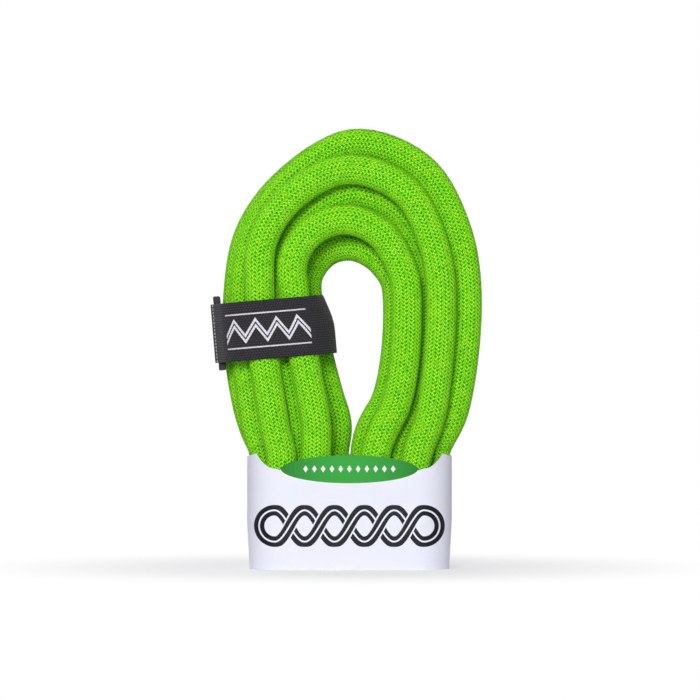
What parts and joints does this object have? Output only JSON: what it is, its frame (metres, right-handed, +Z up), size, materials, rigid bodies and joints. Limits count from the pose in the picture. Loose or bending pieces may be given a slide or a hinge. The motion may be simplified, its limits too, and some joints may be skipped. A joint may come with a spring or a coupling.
{
  "type": "dynamic climbing rope",
  "caption": "Round braided climbing rope made up as a small upright hank, its foot in a card sleeve and its left leg in a hook-and-loop strap with a plastic ring.",
  "frame": {"origin": "middle of the whole part's outline at the sleeve's foot", "axes": "+Z up from the sleeve to the top of the loops, -Y towards the front with the oval label, +X to the right seen from the front; the strap is on the -X leg"},
  "size_m": [0.0908, 0.0456, 0.1459],
  "materials": {
    "rope_sheath": "braided",
    "melted_tip": "melted",
    "card": "matt",
    "label": "matt",
    "webbing": "woven",
    "hook_field": "matt",
    "loop_field": "napped",
    "ring_plastic": "satin"
  },
  "bodies": {
    "sleeve": {"sleeve_card": "card", "sleeve_glue_lap": "card", "sleeve_oval_label": "label"},
    "hank": {"rope_hank": "rope_sheath", "rope_end_start": "melted_tip", "rope_end_finish": "melted_tip", "strap_band": "webbing", "strap_sewn_end": "webbing", "strap_ring": "ring_plastic", "strap_loop_field": "loop_field"},
    "strap_flap": {"strap_tail": "webbing", "strap_hook_field": "hook_field"}
  },
  "joints": [
    {"name": "hank_lift", "type": "slide", "parent": "sleeve", "child": "hank", "axis": [0, 0, 1], "range_m": [0, 0.045]},
    {"name": "tail_peel", "type": "hinge", "parent": "hank", "child": "strap_flap", "pos_m": [-0.04455, 0.00113, 0.07826], "axis": [-0.0837, 0, 0.9965], "range_deg": [0, 135]}
  ]
}
